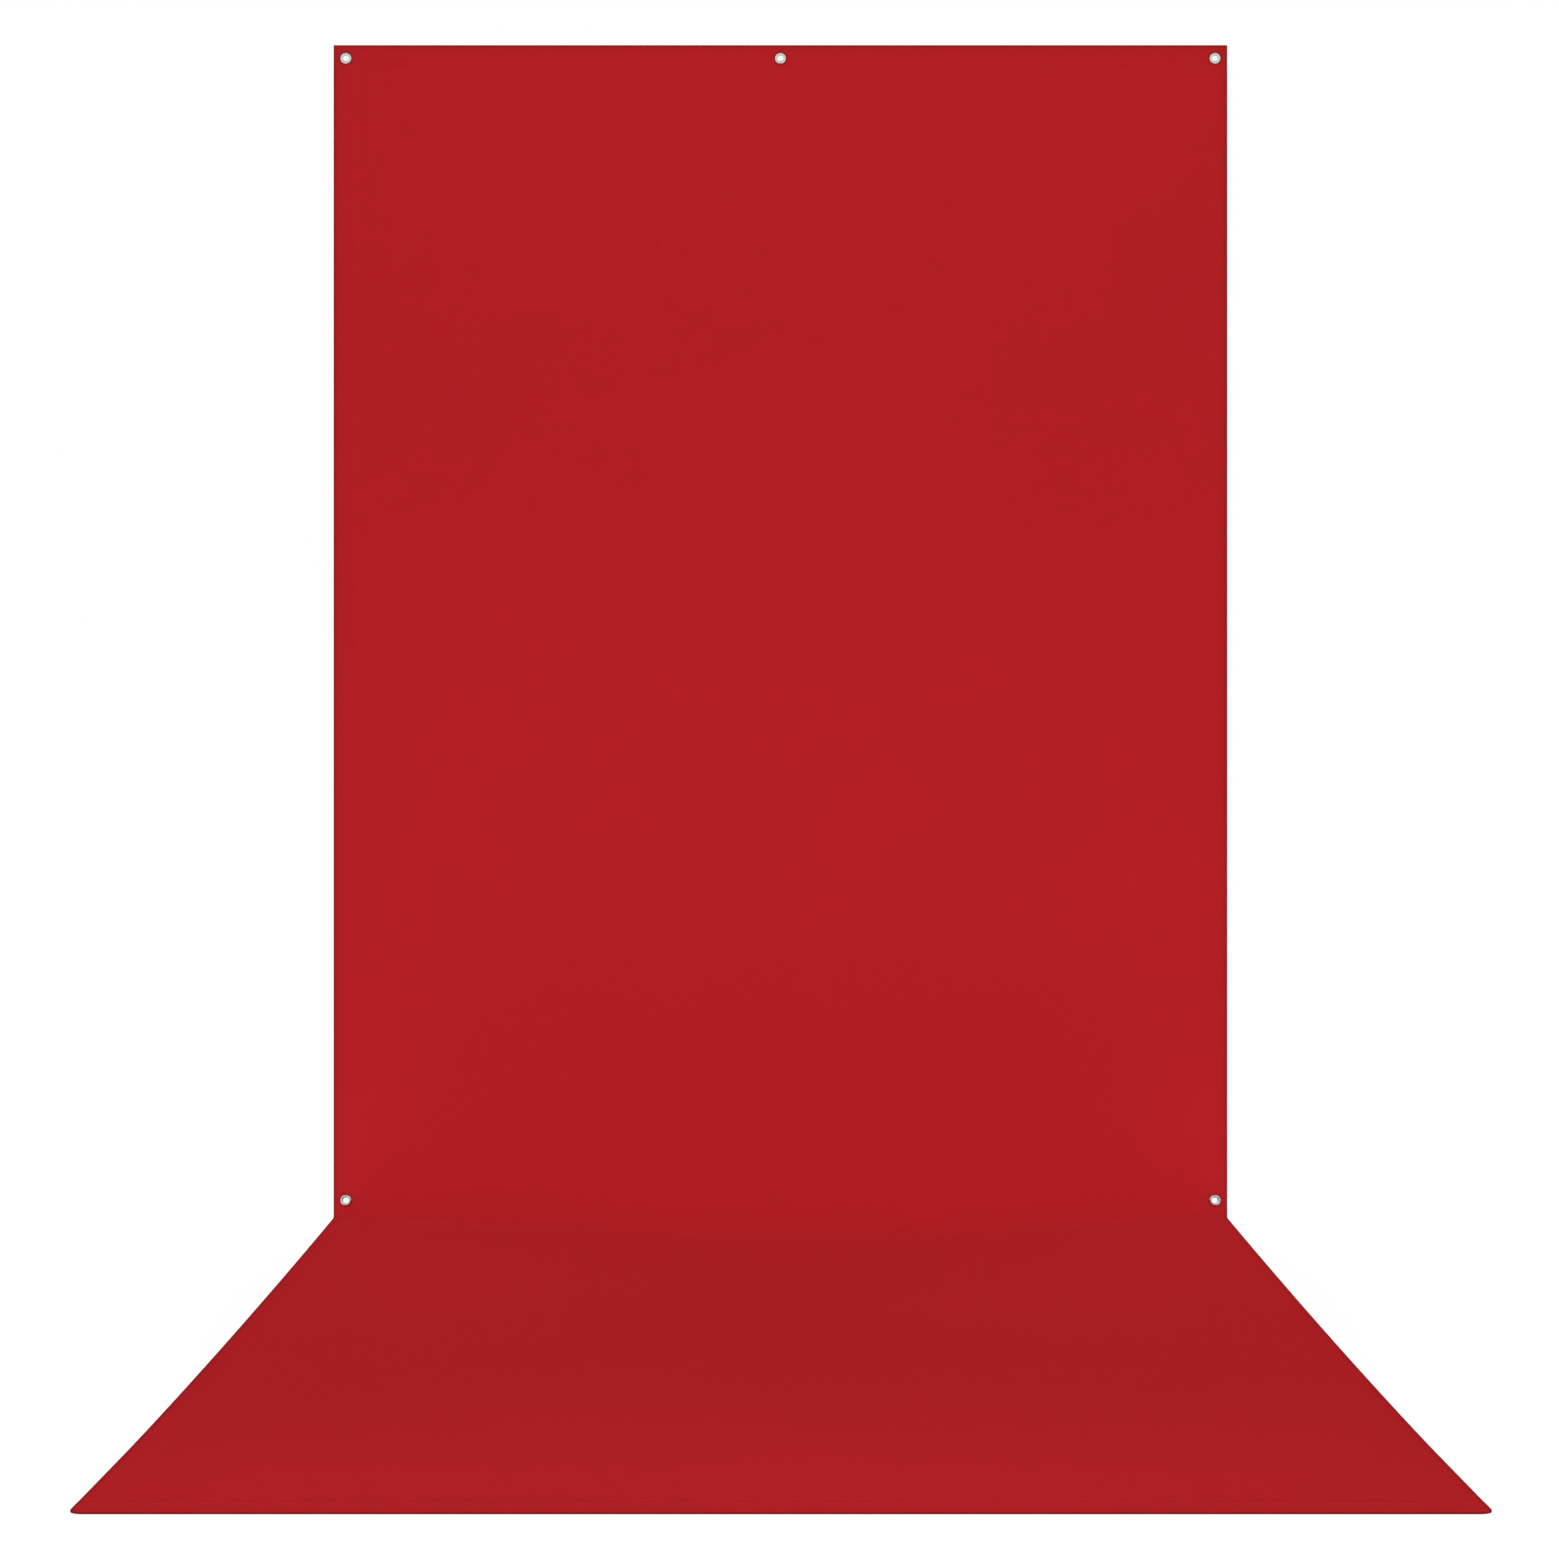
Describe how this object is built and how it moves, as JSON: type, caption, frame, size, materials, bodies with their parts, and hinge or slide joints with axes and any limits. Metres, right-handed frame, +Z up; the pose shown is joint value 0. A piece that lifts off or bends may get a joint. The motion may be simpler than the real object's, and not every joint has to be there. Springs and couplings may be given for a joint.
{
  "type": "backdrop with sweep",
  "caption": "Hemmed red fabric backdrop that hangs from grommets, turns forward just above the floor and runs out as a flat sweep.",
  "frame": {"origin": "on the floor, below the middle of the whole part's box", "axes": "+Z up; the drop hangs at the back (+Y) and the sweep comes forward to -Y; +X to the right of someone facing the backdrop"},
  "size_m": [1.524, 1.6636, 2.0364],
  "materials": {
    "cloth": "matt woven polyester, red",
    "hem": "the same cloth turned in twice and stitched",
    "patch": "red webbing square, matt",
    "thread": "red polyester sewing thread, slight sheen",
    "grommet_metal": "pressed brass with bright nickel plating"
  },
  "bodies": {
    "root": {"backdrop_cloth": "cloth", "top_hem": "hem", "left_hem": "hem", "right_hem": "hem", "front_hem": "hem", "top_hem_thread": "thread", "left_hem_thread": "thread", "right_hem_thread": "thread", "front_hem_thread": "thread", "top_left_eyelet": "grommet_metal", "top_left_washer": "grommet_metal", "top_left_patch": "patch", "top_left_patch_thread": "thread", "top_centre_eyelet": "grommet_metal", "top_centre_washer": "grommet_metal", "top_centre_patch": "patch", "top_centre_patch_thread": "thread", "top_right_eyelet": "grommet_metal", "top_right_washer": "grommet_metal", "top_right_patch": "patch", "top_right_patch_thread": "thread", "low_left_eyelet": "grommet_metal", "low_left_washer": "grommet_metal", "low_left_patch": "patch", "low_left_patch_thread": "thread", "low_right_eyelet": "grommet_metal", "low_right_washer": "grommet_metal", "low_right_patch": "patch", "low_right_patch_thread": "thread"}
  },
  "joints": []
}
